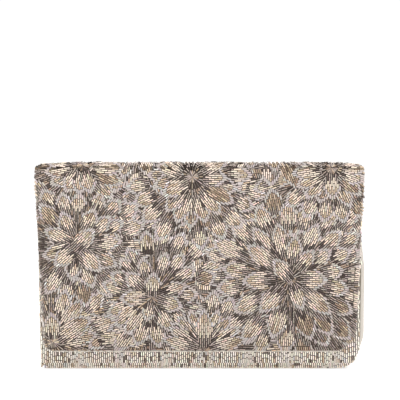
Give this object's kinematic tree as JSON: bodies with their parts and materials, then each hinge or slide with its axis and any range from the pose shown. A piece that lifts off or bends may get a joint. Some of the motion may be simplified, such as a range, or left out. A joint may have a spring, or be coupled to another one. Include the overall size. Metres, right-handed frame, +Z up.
{
  "type": "clutch purse",
  "caption": "Flat evening clutch purse with a full fold-over flap covered in bead embroidery, satin gussets, lined compartment, slip pocket and magnetic snap.",
  "frame": {"origin": "centre of the bounding box at the ground", "axes": "+X across the purse to the right seen from the front, +Y from front to back, +Z up; the flap faces -Y"},
  "size_m": [0.2538, 0.028, 0.159],
  "materials": {
    "beads": "glass bugle beads, silver, champagne and gunmetal, sewn in rows",
    "bead_cloth": "woven satin under the beads",
    "foam": "thin foam padding, spun",
    "board": "stiffening board, matt",
    "lining": "satin lining",
    "satin": "satin, soft sheen",
    "binding": "folded satin strip",
    "snap_steel": "nickel plated steel",
    "magnet": "sintered magnet, dark"
  },
  "bodies": {
    "body": {"back_beads": "beads", "back_cloth": "bead_cloth", "back_foam": "foam", "back_board": "board", "back_lining": "lining", "base_beads": "beads", "base_cloth": "bead_cloth", "base_board": "board", "base_lining": "lining", "gusset_left": "satin", "gusset_right": "satin", "gusset_lining_left": "lining", "gusset_lining_right": "lining", "slip_pocket": "lining", "pocket_binding": "binding"},
    "top_fold": {"top_beads": "beads", "top_cloth": "bead_cloth", "top_foam": "foam", "top_lining": "lining"},
    "flap": {"flap_beads": "beads", "flap_cloth": "bead_cloth", "flap_foam": "foam", "flap_board": "board", "flap_lining": "lining", "flap_binding": "binding", "snap_stud": "snap_steel", "snap_stud_washer": "snap_steel"},
    "front": {"front_beads": "beads", "front_cloth": "bead_cloth", "front_foam": "foam", "front_board": "board", "front_lining": "lining", "mouth_binding": "binding", "snap_socket": "snap_steel", "snap_magnet": "magnet", "snap_socket_washer": "snap_steel"}
  },
  "joints": [
    {"name": "top_fold_hinge", "type": "hinge", "parent": "body", "child": "top_fold", "pos_m": [0, 0.01166, 0.15666], "axis": [-1, 0, 0], "range_deg": [0, 90]},
    {"name": "flap_hinge", "type": "hinge", "parent": "top_fold", "child": "flap", "pos_m": [0, -0.01166, 0.15666], "axis": [-1, 0, 0], "range_deg": [0, 90]},
    {"name": "front_hinge", "type": "hinge", "parent": "body", "child": "front", "pos_m": [0, -0.0085, 0.0047], "axis": [1, 0, 0], "range_deg": [0, 7], "deforming": ["gusset_left", "gusset_right", "gusset_lining_left", "gusset_lining_right"]}
  ],
  "couplings": [
    {"joint": "flap_hinge", "follows": "top_fold_hinge", "ratio": 1},
    {"joint": "front_hinge", "follows": "top_fold_hinge", "ratio": 0.077778}
  ]
}
